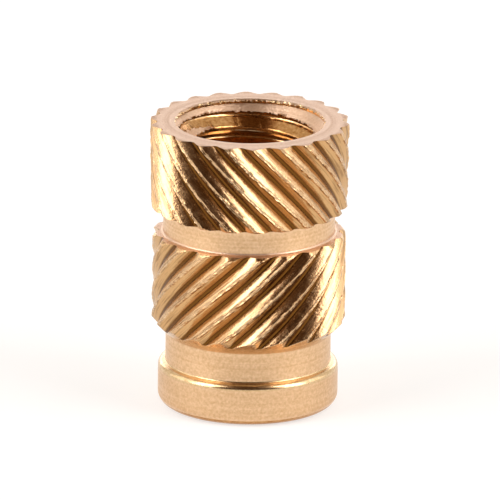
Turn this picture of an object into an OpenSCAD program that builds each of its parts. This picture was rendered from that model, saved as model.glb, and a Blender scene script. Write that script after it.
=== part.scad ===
// Threaded insert for plastic: one turned brass sleeve, bored right through.
// From the bottom up it has a plain pilot collar, a neck, a knurled band, a groove
// and a second knurled band, whose helix has the opposite hand.
// Millimetres, +Z up. The origin is the centre of the collar's lower face.

/* [Thread bore] */
// Diameter of the bore, measured over the thread's crests
bore_d = 5; // [4.6:0.1:5.6]
// Diameter of the plain recess at the upper mouth
mouth_d = 6.5; // [6:0.1:6.9]
// Depth of the plain recess before the countersink starts
mouth_depth = 0.2; // [0.05:0.05:1]
// Included angle of the countersinks at both ends
countersink_angle = 90; // [60:5:120]
// Diameter of the lead-in at the collar end
lead_in_d = 5.9; // [5.7:0.1:6.5]

/* [Pilot collar] */
// Diameter of the collar that centres the insert in its hole
collar_d = 7.82; // [7.6:0.02:8.2]
// Height of the collar
collar_h = 1.9; // [1:0.1:4]
// Radius that rounds the collar's lower edge, which leads the insert into its hole
entry_round = 0.5; // [0.1:0.05:0.6]
// Radius that rounds the collar's upper edge
shoulder_round = 0.25; // [0.05:0.01:0.3]

/* [Neck] */
// Diameter of the neck between the collar and the lower band
neck_d = 7.18; // [6.9:0.02:7.3]
// Height of the neck
neck_h = 1.32; // [0.5:0.01:4]

/* [Knurled bands] */
// Depth of the knurl, from its crests to its roots
knurl_depth = 0.3; // [0.15:0.01:0.4]
// Share of a tooth's pitch that is flat crest
crest_share = 0.28; // [0.1:0.02:0.5]
// Share of a tooth's pitch that is the flat root between two flanks
root_share = 0.12; // [0.04:0.02:0.3]
// How far the middle of a flank stands out beyond a straight flank
flank_bulge = 0.03; // [0:0.01:0.06]
// Chamfer at the tooth ends that face the groove
tooth_end = 0.14; // [0.05:0.01:0.25]

/* [Lower band] */
// Diameter over the lower band's crests
lower_d = 8.42; // [8.2:0.02:9]
// Height of the lower band's full teeth
lower_h = 3.87; // [2:0.01:8]
// Height of the cone under the lower band
underside_h = 0.64; // [0.3:0.01:1.5]
// Number of teeth round the lower band
lower_teeth = 20; // [12:1:26]
// Turn of the lower band's teeth in each millimetre of height, in degrees
lower_turn = 15.6; // [5:0.05:20]

/* [Groove] */
// Diameter of the plain groove between the bands
groove_d = 7.46; // [7.2:0.02:7.6]
// Width of the groove
groove_w = 1.15; // [0.5:0.05:4]
// Fillet where the groove meets the lower band
groove_fillet = 0.1; // [0.05:0.01:0.14]

/* [Upper band] */
// Diameter over the upper band's crests
upper_d = 8.65; // [8.4:0.02:9.2]
// Height of the upper band
upper_h = 3.82; // [2:0.01:8]
// Number of teeth round the upper band
upper_teeth = 22; // [12:1:28]
// Turn of the upper band's teeth in each millimetre of height, in degrees
upper_turn = 13.6; // [5:0.05:20]

/* [Hidden] */
// Cuts run this far past the faces that they open
overcut = 0.5;
// The cone under the lower band starts this far inside the neck
sink = 0.1;
// Height of one straight facet of a twisted tooth
facet_h = 0.45;
// Straight steps in a rounded corner
round_steps = 5;
// Angle of one crest at the foot of each band, which sets how the bands are turned
upper_start = -35.1;
lower_start = -115.5;

neck_z = collar_h;
underside_z = neck_z + neck_h;
lower_z = underside_z + underside_h;
groove_z = lower_z + lower_h;
upper_z = groove_z + groove_w;
total_h = upper_z + upper_h;
countersink_run = tan(countersink_angle / 2);

// Radius half way down a flank of a tooth
function flank_r(tip_r) = tip_r - knurl_depth / 2 + flank_bulge;

// Quarter arc from the first angle to the last, as points
function arc(centre, radius, first, last) =
    [for (i = [0:round_steps])
        let (a = first + (last - first) * i / round_steps)
            centre + radius * [cos(a), sin(a)]];

// Outline of all the teeth. A place runs from 0, mid-crest, to 1, mid-root.
module tooth_ring(teeth, tip_r) {
    foot = 1 - root_share;
    flank = (crest_share + foot) / 2;
    half_pitch = 180 / teeth;
    half_tooth = [
        [crest_share, tip_r],
        [flank, flank_r(tip_r)],
        [foot, tip_r - knurl_depth]];
    tooth = concat(
        [for (i = [2:-1:0]) [-half_tooth[i][0], half_tooth[i][1]]],
        half_tooth);
    polygon([for (count = [0:teeth - 1], point = tooth)
        let (a = (2 * count + point[0]) * half_pitch)
            point[1] * [cos(a), sin(a)]]);
}

// Helical teeth from one height to another. A positive turn carries the crests clockwise
// as they rise, and the start is the angle of one crest at z = 0.
module helical_teeth(teeth, tip_r, low, high, turn, start) {
    height = high - low;
    translate([0, 0, low])
        rotate([0, 0, start - turn * low])
            linear_extrude(height = height, twist = turn * height,
                           slices = ceil(height / facet_h), convexity = 10)
                tooth_ring(teeth, tip_r);
}

// The envelopes of both bands pass outside the crests, so that they only trim the ends.
module lower_band() {
    tip_r = lower_d / 2;
    outer_r = tip_r + overcut;
    top = underside_h + lower_h;
    slope = underside_h / (tip_r - neck_d / 2);
    low = -sink * slope;
    translate([0, 0, underside_z])
        intersection() {
            helical_teeth(lower_teeth, tip_r, low, top, -lower_turn, lower_start);
            rotate_extrude()
                polygon([
                    [0, low],
                    [neck_d / 2 - sink, low],
                    [outer_r, underside_h + overcut * slope],
                    [outer_r, top - tooth_end - overcut],
                    [tip_r - tooth_end, top],
                    [0, top]]);
        }
}

module upper_band() {
    tip_r = upper_d / 2;
    outer_r = tip_r + overcut;
    translate([0, 0, upper_z])
        intersection() {
            helical_teeth(upper_teeth, tip_r, 0, upper_h, upper_turn, upper_start);
            rotate_extrude()
                polygon([
                    [0, 0],
                    [tip_r - tooth_end, 0],
                    [outer_r, tooth_end + overcut],
                    [outer_r, upper_h + overcut],
                    [0, upper_h + overcut]]);
        }
}

module turned_core() {
    collar_r = collar_d / 2;
    rotate_extrude()
        polygon(concat(
            [[0, 0]],
            arc([collar_r - entry_round, entry_round], entry_round, 270, 360),
            arc([collar_r - shoulder_round, collar_h - shoulder_round], shoulder_round, 0, 90),
            [[neck_d / 2, neck_z], [neck_d / 2, lower_z], [groove_d / 2, lower_z]],
            arc([groove_d / 2 + groove_fillet, groove_z + groove_fillet], groove_fillet, 270, 180),
            [[groove_d / 2, total_h], [0, total_h]]));
}

module thread_bore() {
    bore_r = bore_d / 2;
    mouth_r = mouth_d / 2;
    lead_in_r = lead_in_d / 2;
    translate([0, 0, -overcut])
        cylinder(h = total_h + 2 * overcut, r = bore_r, $fn = 96);
    rotate_extrude($fn = 96)
        polygon([
            [0, -overcut],
            [lead_in_r + overcut * countersink_run, -overcut],
            [bore_r, (lead_in_r - bore_r) / countersink_run],
            [0, (lead_in_r - bore_r) / countersink_run]]);
    translate([0, 0, total_h])
        rotate_extrude($fn = 96)
            polygon([
                [0, overcut],
                [mouth_r, overcut],
                [mouth_r, -mouth_depth],
                [bore_r, -mouth_depth - (mouth_r - bore_r) / countersink_run],
                [0, -mouth_depth - (mouth_r - bore_r) / countersink_run]]);
}

module insert_body() {
    color("goldenrod")
        difference() {
            union() {
                turned_core();
                lower_band();
                upper_band();
            }
            thread_bore();
        }
}

insert_body();
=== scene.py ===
import bpy, bmesh, math
from mathutils import Matrix, Vector, noise


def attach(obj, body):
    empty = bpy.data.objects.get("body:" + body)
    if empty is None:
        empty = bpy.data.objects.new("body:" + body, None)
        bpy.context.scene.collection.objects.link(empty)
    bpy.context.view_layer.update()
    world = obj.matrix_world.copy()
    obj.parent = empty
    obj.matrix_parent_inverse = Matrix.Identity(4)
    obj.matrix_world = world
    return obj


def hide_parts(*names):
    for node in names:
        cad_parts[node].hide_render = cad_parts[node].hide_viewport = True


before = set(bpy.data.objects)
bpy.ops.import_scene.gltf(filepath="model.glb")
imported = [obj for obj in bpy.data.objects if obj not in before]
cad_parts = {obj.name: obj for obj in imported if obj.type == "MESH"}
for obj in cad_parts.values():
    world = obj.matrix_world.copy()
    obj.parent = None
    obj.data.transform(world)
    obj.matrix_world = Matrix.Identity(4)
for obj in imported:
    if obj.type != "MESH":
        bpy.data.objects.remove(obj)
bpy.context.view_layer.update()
mm = 0.001

# scales of patterns are in repeats per mm, roundings and bump heights in mm
turnedFinish = {
    "colour": (0.82, 0.555, 0.335), "shade": (0.64, 0.40, 0.205), "roughness": (0.28, 0.44),
    "rings": 16.0, "grain": 9.0, "grainShare": 1.1, "bump": 0.008, "edgeRound": 0.035,
    "sparks": 0.0,
}
facedFinish = {
    "colour": (0.75, 0.53, 0.385), "shade": (0.62, 0.405, 0.27), "roughness": (0.36, 0.52),
    "rings": 14.0, "grain": 10.0, "grainShare": 1.6, "bump": 0.010, "edgeRound": 0.02,
    "sparks": 3.0,
}
# painted shade: a darker copy of the brass, on the lower half of each thread groove and the foot
# of the collar's rounding
paintedShadeFinish = {
    "colour": (0.68, 0.385, 0.165), "shade": (0.44, 0.20, 0.055), "roughness": (0.12, 0.24),
    "rings": 9.0, "grain": 7.0, "grainShare": 0.6, "bump": 0.006, "edgeRound": 0.03,
    "sparks": 3.0,
}
brightFinish = {
    "colour": (0.80, 0.58, 0.35), "shade": (0.64, 0.43, 0.22), "roughness": (0.14, 0.26),
    "rings": 10.0, "grain": 6.0, "grainShare": 0.6, "bump": 0.004, "edgeRound": 0.03,
    "sparks": 4.0,
}
knurlFinish = {
    "land": (0.69, 0.44, 0.235),    # the flat crests and the torn flanks behind them
    "flank": (0.66, 0.40, 0.18),    # the smooth flanks
    "root": (0.16, 0.065, 0.012), "rootShadeTop": 0.2,   # painted shade in the roots, which fades out at this height
    "lip": (0.90, 0.66, 0.40),      # worn edges, painted pale partly as painted highlight, where the patches are in wornAndHighlightRange or over
    "patches": 3.5, "wornAndHighlightRange": (0.45, 0.62),
    "rolledRoughness": (0.13, 0.25), "grainyRoughness": (0.16, 0.30),
    "streaks": 9.0, "streakLength": 0.09,
    "streakDepth": 0.5, "streakRange": (0.36, 0.50),    # root colour in the darkest streaks
    "grain": 7.0, "grainShare": (0.25, 2.2),            # on the smooth and on the torn side
    "bump": 0.005, "edgeRound": 0.02, "sparks": 8.0,
}
# what all the finishes share
brass = {
    "noiseRoughness": 0.6, "fineDetail": 3.0,
    "edgeScale": 11.0, "edgeReach": 1.3,    # unevenness of the edges, and the widest rounding
    "bevelSamples": 6,
    "sparkScale": 12.0,
    "wideRings": 0.35,                      # scale of the wide rings over that of the fine ones
    "wideShare": 0.5, "mottle": (0.55, 0.95),
}


def feed(tree, socket, value):
    # an input takes another node's output, a number or a colour
    if isinstance(value, bpy.types.NodeSocket):
        tree.links.new(value, socket)
    elif socket.type == "RGBA":
        socket.default_value = (*value, 1)
    else:
        socket.default_value = value


def addNode(tree, kind, **values):
    # each value goes to the input of its name, or else to the setting
    node = tree.nodes.new(kind)
    for name, value in values.items():
        if name in node.inputs:
            feed(tree, node.inputs[name], value)
        else:
            setattr(node, name, value)
    return node


def fill(tree, node, *values):
    # feeds the inputs in their order
    for socket, value in zip(node.inputs, values):
        feed(tree, socket, value)
    return node.outputs[0]


def mathOf(tree, operation, *values):
    return fill(tree, addNode(tree, "ShaderNodeMath", operation=operation), *values)


def mixOf(tree, kind, factor, first, second):
    # mixes two numbers, of kind "FLOAT", or two colours, of kind "RGBA"
    node = addNode(tree, "ShaderNodeMix", data_type=kind)
    start, output = (6, 2) if kind == "RGBA" else (2, 0)
    for number, value in ((0, factor), (start, first), (start + 1, second)):
        feed(tree, node.inputs[number], value)
    return node.outputs[output]


def noiseOf(tree, vector, scale, detail=2.0):
    texture = addNode(tree, "ShaderNodeTexNoise", Vector=vector, Scale=scale, Detail=detail,
                      Roughness=brass["noiseRoughness"])
    return texture.outputs["Fac"]


def attributeOf(tree, name, output="Fac"):
    return addNode(tree, "ShaderNodeAttribute", attribute_name=name).outputs[output]


def spread(tree, value, low, high, start=0.3, end=0.7, curve="LINEAR"):
    # takes a value that runs from start to end over to the range from low to high
    node = addNode(tree, "ShaderNodeMapRange", interpolation_type=curve)
    return fill(tree, node, value, start, end, low, high)


def newMaterial(name):
    # a metal whose colour, roughness and normal are left to its finish
    material = bpy.data.materials.new(name)
    material.use_nodes = True
    tree = material.node_tree
    tree.nodes.clear()
    shader = addNode(tree, "ShaderNodeBsdfPrincipled", Metallic=1.0)
    addNode(tree, "ShaderNodeOutputMaterial", Surface=shader.outputs[0])
    return material, tree, shader


def addRelief(tree, shader, height, finish, place):
    # worn edges, where "lip" is above 0, are broken up into bright and dark dots
    dots = noiseOf(tree, place, brass["sparkScale"] / mm, 1.0)
    amount = mathOf(tree, "MULTIPLY", attributeOf(tree, "lip"), finish["sparks"])
    height = mathOf(tree, "MULTIPLY_ADD", dots, amount, height)
    # the bump lies over edges that are rounded unevenly, as burrs are
    uneven = noiseOf(tree, place, brass["edgeScale"] / mm)
    radius = spread(tree, uneven, 0.0, brass["edgeReach"] * finish["edgeRound"] * mm)
    edge = addNode(tree, "ShaderNodeBevel", samples=brass["bevelSamples"], Radius=radius)
    bump = addNode(tree, "ShaderNodeBump", Strength=1.0, Distance=finish["bump"] * mm,
                   Height=height, Normal=edge.outputs[0])
    feed(tree, shader.inputs["Normal"], bump.outputs[0])


def turnedBrass(name, finish):
    # tool marks run in circles round the axis, on the flat faces too
    material, tree, shader = newMaterial(name)
    place = addNode(tree, "ShaderNodeTexCoord").outputs["Object"]
    parts = addNode(tree, "ShaderNodeSeparateXYZ", Vector=place).outputs
    flat = addNode(tree, "ShaderNodeCombineXYZ", X=parts["X"], Y=parts["Y"])
    radius = addNode(tree, "ShaderNodeVectorMath", operation="LENGTH")
    fill(tree, radius, flat.outputs[0])
    ring = addNode(tree, "ShaderNodeCombineXYZ", X=radius.outputs["Value"], Y=parts["Z"])
    rings = noiseOf(tree, ring.outputs[0], finish["rings"] / mm)
    wideRings = noiseOf(tree, ring.outputs[0], brass["wideRings"] * finish["rings"] / mm)
    grain = noiseOf(tree, place, finish["grain"] / mm, brass["fineDetail"])
    height = mathOf(tree, "MULTIPLY_ADD", grain, finish["grainShare"], rings)
    addRelief(tree, shader, height, finish, place)
    mottle = mathOf(tree, "MULTIPLY_ADD", wideRings, brass["wideShare"], grain)
    shaded = spread(tree, mottle, 0.0, 1.0, *brass["mottle"])
    colour = mixOf(tree, "RGBA", shaded, finish["colour"], finish["shade"])
    feed(tree, shader.inputs["Base Color"], colour)
    feed(tree, shader.inputs["Roughness"], spread(tree, wideRings, *finish["roughness"]))
    return material


def knurlBrass():
    # streaks lie along the teeth: "rolled" is the place in mm with its helix turned straight,
    # "tooth" runs from 0 in a root to 1 on a crest, "grainy" from 0 on the smooth flank to 1
    # on the crest and the torn flank, and "lip" marks the worn edges of a crest, painted pale
    # partly as painted highlight
    finish = knurlFinish
    material, tree, shader = newMaterial("knurlBrass")
    place = addNode(tree, "ShaderNodeTexCoord").outputs["Object"]
    rise, grainy, lip = [attributeOf(tree, name) for name in ("tooth", "grainy", "lip")]
    along = addNode(tree, "ShaderNodeMapping", Vector=attributeOf(tree, "rolled", "Vector"),
                    Scale=(1, 1, finish["streakLength"]))
    streaks = noiseOf(tree, along.outputs[0], finish["streaks"], brass["fineDetail"])
    grain = noiseOf(tree, place, finish["grain"] / mm, brass["fineDetail"])
    patch = noiseOf(tree, place, finish["patches"] / mm, brass["fineDetail"])
    grainShare = spread(tree, grainy, *finish["grainShare"], 0.0, 1.0)
    height = mathOf(tree, "MULTIPLY_ADD", grain, grainShare, streaks)
    addRelief(tree, shader, height, finish, place)
    sides = mixOf(tree, "RGBA", grainy, finish["flank"], finish["land"])
    dark = spread(tree, streaks, finish["streakDepth"], 0.0, *finish["streakRange"])
    streaky = mixOf(tree, "RGBA", dark, sides, finish["root"])
    # painted shade: the root colour darkens each root and fades out a little way up the tooth
    overRootShade = spread(tree, rise, 0.0, 1.0, 0.0, finish["rootShadeTop"])
    body = mixOf(tree, "RGBA", overRootShade, finish["root"], streaky)
    # the pale edges are partly real wear and partly painted highlight
    worn = mathOf(tree, "MULTIPLY", spread(tree, patch, 0.0, 1.0, *finish["wornAndHighlightRange"]), lip)
    feed(tree, shader.inputs["Base Color"], mixOf(tree, "RGBA", worn, body, finish["lip"]))
    rolledSide = spread(tree, patch, *finish["rolledRoughness"])
    grainySide = spread(tree, patch, *finish["grainyRoughness"])
    feed(tree, shader.inputs["Roughness"], mixOf(tree, "FLOAT", grainy, rolledSide, grainySide))
    return material


# numbers of the finishes, in the order in which the insert gets its materials
turned, knurled, bright, faced, paintedShade = range(5)

sleeve = {
    "columns": 440,         # faces round the sleeve: 20 on each upper tooth, 22 on each lower one
    "height": 12.7,
    "boreRadius": 2.5,
    "mouthRadius": 3.25, "mouthDepth": 0.2, "mouthBurr": 0.03,
    # rings over the mouth's edge: how far outside the mouth and under the top face, finish of
    # the faces that lead to the ring, and seed of the burr, or 0 for none
    "mouthEdge": [(0.09, 0, faced, 0), (0.045, 0, faced, 0), (0.022, 0.004, faced, 1.0),
                  (0, 0.03, bright, 2.0), (0, 0.07, bright, 0)],
    "burrScale": 0.4,       # teeth of the burr in each column
    "faceRadius": 3.95,     # ring in the top face, inside the roots of the knurl
    "sinkStep": 0.06,       # step from ring to ring in the countersink
    "leadInRadius": 2.95,
    "collarRadius": 3.91, "collarHeight": 1.9, "entryRound": 0.5, "shoulderRound": 0.25,
    "collarStep": 0.02,     # narrow ring under the shoulder, which keeps the side straight
    "neckRadius": 3.59, "neckTop": 3.22,
    "grooveRadius": 3.73, "grooveFillet": 0.1,
    # roundings, as first and last angle and number of steps
    "entryFoot": (-90, -30, 6), "entryTop": (-22, 0, 3), "shoulderArc": (0, 90, 8),
    "filletArc": (270, 180, 4),
}
# start is the angle of a crest at the band's foot, and turn the degrees in each mm of height;
# lean says which way the smooth flank faces, and burrPlace where the crest begins behind it
lowerBand = {
    "teeth": 20, "tipRadius": 4.21, "foot": 3.22, "top": 7.73, "underside": 0.64,
    "turn": 15.6, "start": -115.5, "depth": 0.3, "taper": 0.0, "seed": 3.0,
    "lean": -1, "burrPlace": -0.13,
}
upperBand = {
    "teeth": 22, "tipRadius": 4.325, "foot": 8.88, "top": 12.7,
    "turn": -13.6, "start": -35.1, "depth": 0.3, "taper": 0.05, "seed": 11.0,
    "lean": 1, "burrPlace": -0.2,
}
tooth = {
    "landShare": 0.24,      # width of the flat crest, in half pitches
    "rootShare": 0.12, "endChamfer": 0.14,
    "backBend": 1.25,       # how much the torn flank bulges
    "hollow": 0.008,        # how far the middle of a crest lies under its edges
    "rootSteps": 2, "smoothSteps": 5, "landSteps": 4,               # columns over its parts
    "rowStep": 0.085, "coneStep": 0.035, "chamferStep": 0.047,      # height from ring to ring
}
# wear of the teeth in mm, its scales in repeats per mm, and what keeps its noises apart
wear = {
    "reach": 0.5,           # width of a worn edge, in widths of the crest
    "backEdge": 0.6,        # wear of the edge behind the crest, over that of the burr
    "waver": 0.014,         # how far a crest's edge strays sideways
    "waverScale": 2.6, "fineWaverScale": 2.7, "fineWaverShare": 0.5, "toothApart": 7.31,
    "nick": 0.035,          # deepest nick in a crest's edge
    "nickScale": 1.3, "nickStart": 0.22, "nickSpan": 0.5, "nickApart": 40,
    "jitter": 0.02,         # unevenness of the edge from row to row
    "jitterScale": 9, "jitterApart": 5.5,
    "ripple": 0.011,        # unevenness of the rolled surface
    "rippleRadius": 4.2, "wideScale": 1.7, "wideShare": 0.5, "fineScale": 4.1, "fineShare": 0.35,
}


def toothPlaces(band):
    # places of the columns over one tooth, from -1 at one root to 1 at the next; the smooth
    # flank runs up to the burr, and the flat crest and the torn flank follow it
    foot = 1 - tooth["rootShare"]
    burr = band["burrPlace"]
    landEnd = burr + tooth["landShare"]
    others = 2 * tooth["rootSteps"] + tooth["smoothSteps"] + tooth["landSteps"]
    marks = [(-1, -foot, tooth["rootSteps"]), (-foot, burr, tooth["smoothSteps"]),
             (burr, landEnd, tooth["landSteps"]),
             (landEnd, foot, sleeve["columns"] // band["teeth"] - others),
             (foot, 1, tooth["rootSteps"])]
    places = [low + (high - low) * i / count for low, high, count in marks for i in range(count)]
    if band["lean"] < 0:
        places = [-1.0] + [-place for place in reversed(places[1:])]
    return places


def toothRise(band, place):
    # height of the form over its roots at one place over a tooth, from 0 to 1
    foot = 1 - tooth["rootShare"]
    burr = band["burrPlace"]
    landEnd = burr + tooth["landShare"]
    place *= band["lean"]
    if abs(place) >= foot:
        return 0.0
    if place < burr:
        return (place + foot) / (burr + foot)
    if place <= landEnd:
        return 1.0
    return 1 - ((place - landEnd) / (foot - landEnd)) ** tooth["backBend"]


def edgeWear(band, z, count):
    # how far the edges of one tooth's crest stray sideways at a height, how deep they are
    # nicked, from 0 up, and how far they are worn down
    run = Vector((count * wear["toothApart"] + band["seed"], 0, z * wear["waverScale"]))
    waver = (noise.noise(run) * wear["waver"]
             + noise.noise(run * wear["fineWaverScale"]) * wear["waver"] * wear["fineWaverShare"])
    row = z * wear["jitterScale"]
    waver += (2 * noise.cell(Vector((count + 0.5, band["seed"], row))) - 1) * wear["jitter"]
    torn = noise.noise(run * wear["nickScale"] + Vector((wear["nickApart"], 0, 0)))
    nick = max(0.0, torn - wear["nickStart"]) / wear["nickSpan"]
    low = noise.cell(Vector((row, count + 0.5, wear["jitterApart"])))
    return waver, nick, wear["nick"] * nick + wear["jitter"] * low


def rippleDepth(band, angle, z):
    radius = wear["rippleRadius"]
    spot = Vector((radius * math.cos(angle), radius * math.sin(angle), z))
    wide = noise.noise(spot * wear["wideScale"] + Vector((band["seed"], 0, 0)))
    fine = noise.noise(spot * wear["fineScale"])
    return wear["ripple"] * (0.5 + wear["wideShare"] * wide + wear["fineShare"] * fine)


def bandPoint(band, z, count, place):
    # angle, radius, height over the roots, share of lip and of grain of one point on a band
    pitch = math.tau / band["teeth"]
    rise = toothRise(band, place)
    land = (place * band["lean"] - band["burrPlace"]) / tooth["landShare"]     # 0 to 1 on a crest
    edge = max(0.0, 1 - abs(land) / wear["reach"],
               wear["backEdge"] - abs(land - 1) / wear["reach"])
    waver, nick, worn = edgeWear(band, z, count)
    start = math.radians(band["start"] + band["turn"] * (z - band["foot"]))
    angle = start + (count + place / 2) * pitch + waver * edge / band["tipRadius"]
    radius = band["tipRadius"] - band["depth"] * (1 - rise)
    radius -= tooth["hollow"] * max(0.0, 1 - abs(2 * land - 1))
    radius -= worn * edge
    radius -= rippleDepth(band, angle, z)
    radius -= band["taper"] * (band["top"] - z) / (band["top"] - band["foot"])
    grain = min(1.0, max(0.0, land * 2 + 1))
    return angle, min(radius, band["tipRadius"]), rise, edge * (1 - min(1.0, nick)), grain


def bandRing(band, z, shift, places, limit):
    # one ring of a band cut at height z; where it is trimmed to a radius, it has no lip
    points = []
    for column in range(sleeve["columns"]):
        count, step = divmod(column + shift, len(places))
        angle, radius, rise, lip, grain = bandPoint(band, z, count % band["teeth"], places[step])
        angle += (count - count % band["teeth"]) * math.tau / band["teeth"]
        if radius >= limit:
            radius, lip, grain = limit, 0.0, 1.0
        points.append((angle, radius, z, rise, lip, grain))
    return points


def firstAngle(band, z):
    # angle of a band's first column, at the root before its first tooth
    return math.radians(band["start"] - 180 / band["teeth"] + band["turn"] * (z - band["foot"]))


def steps(first, last, size):
    # values from first to last, none further apart than size, give or take a rounding error
    count = max(1, math.ceil(abs(last - first) / size - 1e-6))
    return [first + (last - first) * i / count for i in range(count + 1)]


def plainRing(offset, radius, z, finish, burr=0.0, seed=0.0):
    # level ring; a burr makes its radius and height uneven
    columns = sleeve["columns"]
    points = []
    for column in range(columns):
        angle = offset + math.tau * column / columns
        rough = 0.0
        if burr:
            cell = Vector((column * sleeve["burrScale"], seed, 0.5))
            rough = burr * (2 * noise.cell(cell) - 1)
        points.append((angle, radius + rough, z - abs(rough), 0.0, 1.0 if burr else 0.0, 0.0))
    return points, finish


def roundRings(offset, centreRadius, centreZ, size, arc, finish):
    first, last, count = arc
    rings = []
    for i in range(count + 1):
        bend = math.radians(first + (last - first) * i / count)
        rings.append(plainRing(offset, centreRadius + size * math.cos(bend),
                               centreZ + size * math.sin(bend), finish))
    return rings


def collarRings(angle):
    # from the lower face over the rounded shoulder to the neck's top
    radius, height = sleeve["collarRadius"], sleeve["collarHeight"]
    entry, shoulder, neck = sleeve["entryRound"], sleeve["shoulderRound"], sleeve["neckRadius"]
    fillet = radius - shoulder - neck
    # painted shade: the foot of the lower rounding gets the darker brass, for a dark line along
    # the lower edge
    rings = roundRings(angle, radius - entry, entry, entry, sleeve["entryFoot"], paintedShade)
    rings += roundRings(angle, radius - entry, entry, entry, sleeve["entryTop"], turned)
    rings.append(plainRing(angle, radius, height - shoulder - sleeve["collarStep"], turned))
    rings += roundRings(angle, radius - shoulder, height - shoulder, shoulder,
                        sleeve["shoulderArc"], bright)
    rings += roundRings(angle, neck + fillet, height + fillet, fillet,
                        sleeve["filletArc"], bright)[1:]
    rings.append(plainRing(angle, neck, sleeve["neckTop"], turned))
    return rings


def lowerBandRings():
    # its cone trims the teeth at the bottom, and a chamfer at the top
    places = toothPlaces(lowerBand)
    tip, foot, top = lowerBand["tipRadius"], lowerBand["foot"], lowerBand["top"]
    slope = lowerBand["underside"] / (tip - sleeve["neckRadius"])
    coneTop = foot + lowerBand["underside"]
    rootZ = foot + (tip - lowerBand["depth"] - sleeve["neckRadius"]) * slope
    chamferZ = top - tooth["endChamfer"]
    heights = steps(rootZ, coneTop, tooth["coneStep"])
    heights += steps(coneTop, chamferZ, tooth["rowStep"])[1:]
    heights += steps(chamferZ, top, tooth["chamferStep"])[1:]
    rings = []
    for z in heights:
        cone = sleeve["neckRadius"] + (z - foot) / slope
        chamfer = tip - tooth["endChamfer"] + top - z
        points = bandRing(lowerBand, z, 0, places, min(cone, chamfer))
        rings.append((points, bright if z == heights[0] else knurled))
    return rings


def grooveRings(angle):
    radius, fillet, foot = sleeve["grooveRadius"], sleeve["grooveFillet"], lowerBand["top"]
    rings = roundRings(angle, radius + fillet, foot + fillet, fillet, sleeve["filletArc"], faced)
    rings.append(plainRing(angle, radius, upperBand["foot"], turned))
    return rings


def upperBandRings(shift):
    # a chamfer trims the teeth at their foot, and they run out through the top face
    places = toothPlaces(upperBand)
    foot, top = upperBand["foot"], upperBand["top"]
    chamferZ = foot + tooth["endChamfer"]
    heights = steps(foot, chamferZ, tooth["chamferStep"])
    heights += steps(chamferZ, top, tooth["rowStep"])[1:]
    rings = []
    for z in heights:
        chamfer = upperBand["tipRadius"] - tooth["endChamfer"] + z - foot
        points = bandRing(upperBand, z, shift, places, chamfer)
        rings.append((points, knurled if z > foot else turned))
    return rings


def boreRings(angle):
    # across the top face, over the mouth's edge and down the bore to the lower face
    top, mouth, bore = sleeve["height"], sleeve["mouthRadius"], sleeve["boreRadius"]
    rings = [plainRing(angle, sleeve["faceRadius"], top, faced)]
    for out, down, finish, seed in sleeve["mouthEdge"]:
        burr = sleeve["mouthBurr"] if seed else 0.0
        rings.append(plainRing(angle, mouth + out, top - down, finish, burr, seed))
    rings.append(plainRing(angle, mouth, top - sleeve["mouthDepth"], bright))
    for radius in steps(mouth, bore, sleeve["sinkStep"])[1:]:
        rings.append(plainRing(angle, radius, top - sleeve["mouthDepth"] - mouth + radius, faced))
    rings.append(plainRing(angle, bore, sleeve["leadInRadius"] - bore, bright))
    rings.append(plainRing(angle, sleeve["leadInRadius"], 0, turned))
    return rings


def sleeveRings():
    # every ring from the lower face up the outside and down the bore, with the finish of the
    # faces between it and the ring before
    rings = collarRings(firstAngle(lowerBand, lowerBand["foot"]))
    rings += lowerBandRings()
    angle = firstAngle(lowerBand, lowerBand["top"])
    rings += grooveRings(angle)
    step = math.tau / sleeve["columns"]
    shift = round((angle - firstAngle(upperBand, upperBand["foot"])) / step) % sleeve["columns"]
    rings += upperBandRings(shift)
    rings += boreRings(firstAngle(upperBand, upperBand["top"]) + shift * step)
    return rings


def buildSleeve():
    # the first ring is a circle, and every further one is extruded from the one before
    bm = bmesh.new()
    columnLayer = bm.verts.layers.int.new("column")
    shareLayers = [bm.verts.layers.float.new(name) for name in ("tooth", "lip", "grainy")]
    rolledLayer = bm.verts.layers.float_vector.new("rolled")
    bmesh.ops.create_circle(bm, cap_ends=False, segments=sleeve["columns"], radius=1)
    inOrder = sorted(bm.verts, key=lambda v: math.atan2(v.co.y, v.co.x) % math.tau)
    for column, vert in enumerate(inOrder):
        vert[columnLayer] = column
    ring = list(bm.verts)
    edges = list(bm.edges)
    firstEdges = edges
    for number, (points, finish) in enumerate(sleeveRings()):
        if number:
            grown = bmesh.ops.extrude_edge_only(bm, edges=edges)["geom"]
            ring = [g for g in grown if isinstance(g, bmesh.types.BMVert)]
            edges = [g for g in grown if isinstance(g, bmesh.types.BMEdge)]
            for g in grown:
                if isinstance(g, bmesh.types.BMFace):
                    g.material_index = finish
        for vert in ring:
            angle, radius, z, *shares = points[vert[columnLayer]]
            vert.co = (radius * mm * math.cos(angle), radius * mm * math.sin(angle), z * mm)
            for layer, share in zip(shareLayers, shares):
                vert[layer] = share
            band = lowerBand if z < upperBand["foot"] else upperBand
            straight = angle - math.radians(band["turn"] * z)
            vert[rolledLayer] = (radius * math.cos(straight), radius * math.sin(straight), z)
    bmesh.ops.bridge_loops(bm, edges=firstEdges + edges)     # the lower face
    bmesh.ops.recalc_face_normals(bm, faces=bm.faces)
    return bm


thread = {
    "pitch": 1.0, "majorRadius": 3.08,
    "innerRadius": 2.3, "innerGrowth": 0.03,    # the cutting form's back, inside the bore
    "flankAngle": 30,       # degrees between a flank and a level plane
    "rootFlat": 0.15,
    "rootRound": 0.05,      # rounding where a flank meets the root, and points on it, as
    "rootCurve": [(0.012, 0.8), (0, 0.4)],      # height over the root and share of its flat
    "crestRound": 0.04,     # rounding where a flank meets the bore, and a point on it, as
    "crestCurve": (0.3, 0.15),                  # shares of the rounding outward and along
    "phase": 0.82,          # height of a groove's middle at angle 0, in pitches
    "turnsBelow": 2, "spareTurns": 3,           # turns of the form outside the insert
    "stepsPerTurn": 96,
    "fray": 0.04,           # unevenness of the edge in the countersink, from frayDepth down
    "frayScale": 9, "frayDepth": 0.25,
}


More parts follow.
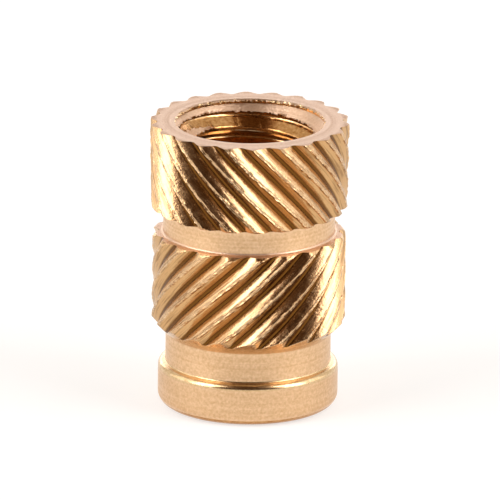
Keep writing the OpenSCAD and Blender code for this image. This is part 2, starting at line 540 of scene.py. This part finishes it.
def buildTap():
    # the solid that the thread's groove is cut with: a 60 degree form turned up the axis
    bm = bmesh.new()
    major, pitch, flat = thread["majorRadius"], thread["pitch"], thread["rootFlat"] / 2
    bore, bend, root = sleeve["boreRadius"], thread["crestRound"], thread["rootRound"]
    outward, along = thread["crestCurve"]
    slant = math.tan(math.radians(thread["flankAngle"]))
    width = flat + (major - bore) * slant
    side = [(thread["innerRadius"], width + bend + thread["innerGrowth"]), (bore, width + bend),
            (bore + outward * bend, width + along * bend), (bore + bend, width - slant * bend),
            (major - root, flat + root * slant)]
    side += [(major - height, flat * share) for height, share in thread["rootCurve"]]
    corners = [(r, -w) for r, w in side] + [(r, w) for r, w in reversed(side)]
    turns = math.ceil(sleeve["height"] / pitch) + thread["spareTurns"]
    startZ = thread["phase"] - thread["turnsBelow"] * pitch
    verts = [bm.verts.new((r * mm, 0, (startZ + z) * mm)) for r, z in corners]
    face = bm.faces.new(verts)
    bmesh.ops.spin(bm, geom=[face] + list(face.edges) + verts, cent=(0, 0, 0), axis=(0, 0, 1),
                   dvec=(0, 0, pitch * mm / thread["stepsPerTurn"]), angle=math.tau * turns,
                   steps=turns * thread["stepsPerTurn"], use_duplicate=False)
    bmesh.ops.remove_doubles(bm, verts=bm.verts, dist=1e-7)
    bmesh.ops.recalc_face_normals(bm, faces=bm.faces)
    # painted shade: the lower half of each groove gets the darker brass, and the upper half the
    # bright one
    for face in bm.faces:
        middle = face.calc_center_median() / mm
        turn = math.atan2(middle.y, middle.x) / math.tau
        offset = (middle.z / pitch - thread["phase"] - turn + 0.5) % 1 - 0.5
        face.material_index = paintedShade if offset * pitch < -flat else bright
    return bm


def frayThread(mesh):
    # the tap leaves an uneven edge where its groove runs out through the countersink
    bm = bmesh.new()
    bm.from_mesh(mesh)
    lipLayer = bm.verts.layers.float["lip"]
    meetings = ({bright, faced}, {faced, paintedShade})
    rim = [edge for edge in bm.edges if {f.material_index for f in edge.link_faces} in meetings]
    middle = Vector((0.5, 0.5, 0.5))
    for vert in {v for edge in rim for v in edge.verts}:
        if vert.co.z < (sleeve["height"] - thread["frayDepth"]) * mm:
            stray = noise.cell_vector(vert.co / mm * thread["frayScale"]) - middle
            vert.co += stray * 2 * thread["fray"] * mm
            vert[lipLayer] = 1.0
    bm.to_mesh(mesh)
    bm.free()


def meshObject(name, bm):
    mesh = bpy.data.meshes.new(name)
    bm.to_mesh(mesh)
    bm.free()
    piece = bpy.data.objects.new(name, mesh)
    bpy.context.scene.collection.objects.link(piece)
    return piece


def buildInsert():
    insert = meshObject("insertBody", buildSleeve())
    print("sleeve:", len(insert.data.polygons), "faces")
    tap = meshObject("threadTap", buildTap())
    print("tap:", len(tap.data.polygons), "faces")
    finishes = [turnedBrass("turnedBrass", turnedFinish), knurlBrass(),
                turnedBrass("brightBrass", brightFinish), turnedBrass("facedBrass", facedFinish),
                turnedBrass("paintedShadeBrass", paintedShadeFinish)]
    for piece in (insert, tap):
        for material in finishes:
            piece.data.materials.append(material)
    cut = insert.modifiers.new("thread", "BOOLEAN")
    cut.operation = "DIFFERENCE"
    cut.solver = "EXACT"
    cut.object = tap
    bpy.context.view_layer.update()
    evaluated = insert.evaluated_get(bpy.context.evaluated_depsgraph_get())
    mesh = bpy.data.meshes.new_from_object(evaluated)
    insert.modifiers.clear()
    insert.data = mesh
    bpy.data.objects.remove(tap)
    frayThread(mesh)
    mesh.shade_smooth()
    mesh.set_sharp_from_angle(angle=math.radians(30))
    print("thread cut:", sum(len(p.vertices) - 2 for p in mesh.polygons), "triangles")
    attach(insert, "root")
    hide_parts("insert_body")


whiteFloor = {
    "size": 1.2, "squares": 8,      # metres, and faces along a side
    "gap": 0.01,                    # mm under the insert, so that their faces don't mix
    "colour": (0.46, 0.46, 0.46), "roughness": 0.9,
    "white": 0.60,                  # share of its white that doesn't depend on the light
}


def buildFloor():
    bm = bmesh.new()
    squares = whiteFloor["squares"]
    bmesh.ops.create_grid(bm, x_segments=squares, y_segments=squares, size=whiteFloor["size"] / 2)
    floor = meshObject("floor", bm)
    floor.location.z = -whiteFloor["gap"] * mm
    material = bpy.data.materials.new("whiteFloor")
    material.use_nodes = True
    shader = material.node_tree.nodes["Principled BSDF"]
    looks = {"Base Color": whiteFloor["colour"], "Roughness": whiteFloor["roughness"],
             "Specular IOR Level": 0.0, "Emission Color": (1, 1, 1),
             "Emission Strength": whiteFloor["white"]}
    for name, value in looks.items():
        feed(material.node_tree, shader.inputs[name], value)
    floor.data.materials.append(material)
    print("floor ready")


# heights and directions in the sky are given as sines, from -1 to 1
room = {
    "colour": (1.0, 0.44, 0.12), "level": 0.10,         # the dim room overhead
    "sideColour": (1.0, 0.93, 0.82), "sideLevel": 0.85,     # its lit sides, left and right
    "sideRange": (0.22, 0.38),      # they light up between these distances from the middle
    "frontLevel": 0.06,             # the unlit side, where the camera stands
    "frontRange": (-0.85, -0.1),    # it gives way to the rest between these directions
    "frontFall": 2.0,               # how much lower the white backdrop ends on that side
    "whiteTop": 0.40,               # height at which the backdrop has faded out
}


def buildWorld():
    world = bpy.data.worlds.new("studio")
    bpy.context.scene.world = world
    world.use_nodes = True
    tree = world.node_tree
    tree.nodes.clear()
    sky = addNode(tree, "ShaderNodeTexCoord").outputs["Generated"]
    parts = addNode(tree, "ShaderNodeSeparateXYZ", Vector=sky).outputs
    # the room is darkest on the camera's side and straight overhead
    side = spread(tree, mathOf(tree, "ABSOLUTE", parts["X"]), 0.0, 1.0, *room["sideRange"])
    back = spread(tree, parts["Y"], 0.0, 1.0, *room["frontRange"], "SMOOTHSTEP")
    lit = mathOf(tree, "MULTIPLY", side, back)
    dim = spread(tree, back, room["frontLevel"], room["level"], 0.0, 1.0)
    strength = mixOf(tree, "FLOAT", lit, dim, room["sideLevel"])
    colour = mixOf(tree, "RGBA", lit, room["colour"], room["sideColour"])
    walls = addNode(tree, "ShaderNodeBackground", Color=colour, Strength=strength)
    # the camera sees white all round, and the metal sees the white backdrop up to its upper edge
    fall = spread(tree, back, 1 + room["frontFall"], 1.0, 0.0, 1.0)
    height = mathOf(tree, "MULTIPLY", parts["Z"], fall)
    backdrop = spread(tree, height, 1.0, 0.0, 0.0, room["whiteTop"], "SMOOTHSTEP")
    ray = addNode(tree, "ShaderNodeLightPath").outputs
    mirrored = mathOf(tree, "MULTIPLY", ray["Is Glossy Ray"], backdrop)
    shown = mathOf(tree, "MAXIMUM", ray["Is Camera Ray"], mirrored)
    white = addNode(tree, "ShaderNodeBackground", Color=(1, 1, 1), Strength=1.0)
    mixed = fill(tree, addNode(tree, "ShaderNodeMixShader"),
                 shown, walls.outputs[0], white.outputs[0])
    addNode(tree, "ShaderNodeOutputWorld", Surface=mixed)
    print("room ready")


# direction from the insert in degrees, size in metres and level of each lamp
softBoxes = {
    "left": {"azimuth": -62, "elevation": 31, "width": 0.16, "height": 0.27, "level": 3.8},
    "right": {"azimuth": 62, "elevation": 31, "width": 0.16, "height": 0.27, "level": 3.8},
    "back": {"azimuth": 180, "elevation": 16, "width": 0.36, "height": 0.12, "level": 1.8},
    "leftSide": {"azimuth": -100, "elevation": 26, "width": 0.16, "height": 0.22, "level": 0.8},
    "rightSide": {"azimuth": 100, "elevation": 26, "width": 0.16, "height": 0.22, "level": 0.8},
}
boxDistance = 0.3       # metres from the middle of the insert


def buildLamps():
    middle = Vector((0, 0, sleeve["height"] * mm / 2))
    for name, box in softBoxes.items():
        data = bpy.data.lights.new(name, "AREA")
        data.shape = "RECTANGLE"
        data.size = box["width"]
        data.size_y = box["height"]
        data.energy = box["level"] * math.pi * box["width"] * box["height"]
        lamp = bpy.data.objects.new(name, data)
        azimuth, rise = math.radians(box["azimuth"]), math.radians(box["elevation"])
        direction = Vector((math.sin(azimuth) * math.cos(rise),
                            -math.cos(azimuth) * math.cos(rise), math.sin(rise)))
        lamp.matrix_world = (Matrix.Translation(middle + direction * boxDistance)
                             @ direction.to_track_quat("Z", "Y").to_matrix().to_4x4())
        bpy.context.scene.collection.objects.link(lamp)
    print("lamps:", len(softBoxes))


camera = {
    "focal": 1500, "sensor": 36,
    "frameWidth": 21.71,                # mm of the object plane across the picture
    "elevation": 17.5, "roll": 0.52,    # degrees
    "centre": (0.049, 0, 6.833),        # mm
    "clip": (0.01, 10),                 # metres
}


def buildCamera():
    data = bpy.data.cameras.new("camera")
    data.lens = camera["focal"]
    data.sensor_width = camera["sensor"]
    data.clip_start, data.clip_end = camera["clip"]
    eye = bpy.data.objects.new("camera", data)
    distance = camera["focal"] / camera["sensor"] * camera["frameWidth"] * mm
    rise = math.radians(camera["elevation"])
    target = Vector(camera["centre"]) * mm
    direction = Vector((0, -math.cos(rise), math.sin(rise)))
    turn = (Matrix.Rotation(math.pi / 2 - rise, 4, "X")
            @ Matrix.Rotation(math.radians(camera["roll"]), 4, "Z"))
    eye.matrix_world = Matrix.Translation(target + direction * distance) @ turn
    bpy.context.scene.collection.objects.link(eye)
    bpy.context.scene.camera = eye
    print("camera ready")


buildInsert()
buildFloor()
buildWorld()
buildLamps()
buildCamera()
bpy.context.scene.view_settings.view_transform = "Standard"
